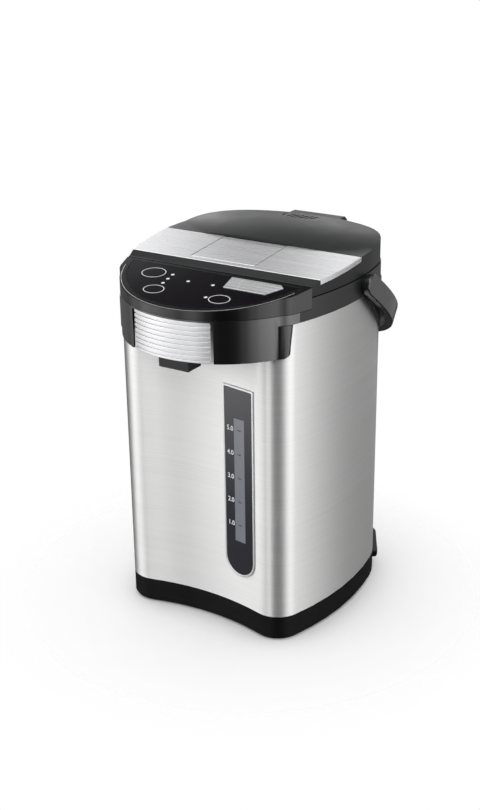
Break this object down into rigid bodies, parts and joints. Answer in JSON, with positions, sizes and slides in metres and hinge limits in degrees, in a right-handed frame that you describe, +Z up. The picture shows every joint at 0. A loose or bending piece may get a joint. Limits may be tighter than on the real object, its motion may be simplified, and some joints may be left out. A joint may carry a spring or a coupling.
{
  "type": "electric thermo pot",
  "caption": "Electric thermo pot: brushed steel body, dark lid with a silver band, sloping push-button panel, water gauge and carry handle.",
  "frame": {"origin": "on the table under the body's axis, in the plane of the feet and the bottom cover", "axes": "+Z up, -Y the front with the spout and the panel, +X the right side with the gauge"},
  "size_m": [0.258, 0.3235, 0.4],
  "materials": {
    "steel": "brushed, horizontal grain",
    "silver_plastic": "silver paint with fine brushing",
    "gloss_black": "gloss",
    "panel_black": "gloss",
    "satin_dark": "satin",
    "dome_dark": "satin, fine grain",
    "base_black": "satin",
    "handle_black": "satin",
    "gauge_grey": "gloss",
    "clear": "clear, slightly smoked",
    "rubber": "matt",
    "natural_plastic": "unpainted",
    "silicone": "translucent silicone, shown solid",
    "steel_plain": "satin",
    "container_steel": "satin, matt inside",
    "mica": "mica laminate",
    "insulation": "felt",
    "board_green": "lacquered board",
    "magnet": "ferrite",
    "brass": "polished"
  },
  "bodies": {
    "pot": {"base_shell": "base_black", "bottom_cover": "base_black", "rubber_feet": "rubber", "bottom_screws": "steel_plain", "outer_shell": "steel", "upper_housing": "satin_dark", "panel_frame": "satin_dark", "head_cover": "gloss_black", "ribbed_cover": "silver_plastic", "spout_nozzle": "base_black", "outlet_hose": "silicone", "control_panel": "panel_black", "panel_board": "board_green", "indicator_lights": "natural_plastic", "gauge_frame": "silver_plastic", "gauge_panel": "gauge_grey", "gauge_window": "clear", "sight_tube": "clear", "water_container": "container_steel", "container_clamps": "steel_plain", "insulation_sleeve": "insulation", "heater_plate": "mica", "heater_clamp": "steel_plain", "thermostats": "natural_plastic", "pump_housing": "natural_plastic", "pump_cover": "natural_plastic", "pump_motor": "steel_plain", "inlet_hose": "silicone", "delivery_hose": "silicone", "power_board": "board_green", "board_screws": "steel_plain", "inlet_housing": "base_black", "inlet_pins": "brass", "hinge_pin": "steel_plain", "handle_pins": "handle_black"},
    "dispense": {"dispense_plate": "silver_plastic"},
    "reboil": {"reboil_button": "panel_black"},
    "temperature": {"temperature_button": "panel_black"},
    "unlock": {"unlock_button": "panel_black"},
    "impeller": {"impeller": "natural_plastic"},
    "magnet": {"magnet_disc": "magnet"},
    "lid": {"lid_shell": "dome_dark", "lid_band": "silver_plastic", "lever_axle": "steel_plain", "lid_base": "satin_dark", "lid_screws": "steel_plain", "inner_lid": "container_steel", "lid_gasket": "silicone", "steam_pipe": "natural_plastic", "vent_cap": "satin_dark", "hinge_cover": "dome_dark"},
    "lever": {"lid_lever": "silver_plastic"},
    "latch": {"latch_slide": "natural_plastic"},
    "valve_ball": {"steam_valve_ball": "steel_plain"},
    "handle": {"handle_bail": "handle_black"}
  },
  "joints": [
    {"name": "lid_hinge", "type": "hinge", "parent": "pot", "child": "lid", "pos_m": [0, 0.15, 0.38], "axis": [-1, 0, 0], "range_deg": [0, 80]},
    {"name": "lid_lever", "type": "hinge", "parent": "lid", "child": "lever", "pos_m": [-0.006, 0.024, 0.3871], "axis": [-1, 0, 0], "range_deg": [0, 35], "stiffness_Nm_per_rad": 0.05, "springref_deg": -8.59},
    {"name": "latch", "type": "slide", "parent": "lid", "child": "latch", "axis": [0, 1, 0], "range_m": [0, 0.006]},
    {"name": "dispense_plate", "type": "slide", "parent": "pot", "child": "dispense", "axis": [0, 0.1478, -0.989], "range_m": [0, 0.002], "stiffness_N_per_m": 500, "springref_m": -0.001},
    {"name": "reboil_button", "type": "slide", "parent": "pot", "child": "reboil", "axis": [0, 0.1478, -0.989], "range_m": [0, 0.0008], "stiffness_N_per_m": 500, "springref_m": -0.001},
    {"name": "temperature_button", "type": "slide", "parent": "pot", "child": "temperature", "axis": [0, 0.1478, -0.989], "range_m": [0, 0.0008], "stiffness_N_per_m": 500, "springref_m": -0.001},
    {"name": "unlock_button", "type": "slide", "parent": "pot", "child": "unlock", "axis": [0, 0.1478, -0.989], "range_m": [0, 0.0008], "stiffness_N_per_m": 500, "springref_m": -0.001},
    {"name": "handle", "type": "hinge", "parent": "pot", "child": "handle", "pos_m": [0, 0.036, 0.36], "axis": [1, 0, 0], "range_deg": [0, 125]},
    {"name": "impeller", "type": "hinge", "parent": "pot", "child": "impeller", "pos_m": [-0.042, 0.03, 0.03], "axis": [0, 0, 1], "continuous": true},
    {"name": "magnet_disc", "type": "hinge", "parent": "pot", "child": "magnet", "pos_m": [-0.042, 0.03, 0.021], "axis": [0, 0, 1], "continuous": true},
    {"name": "steam_valve_ball", "type": "slide", "parent": "lid", "child": "valve_ball", "axis": [0, 0, 1], "range_m": [0, 0.003]}
  ],
  "couplings": [
    {"joint": "latch", "follows": "lid_lever", "m_per_rad": 0.0098221},
    {"joint": "impeller", "follows": "magnet_disc", "ratio": 1}
  ]
}
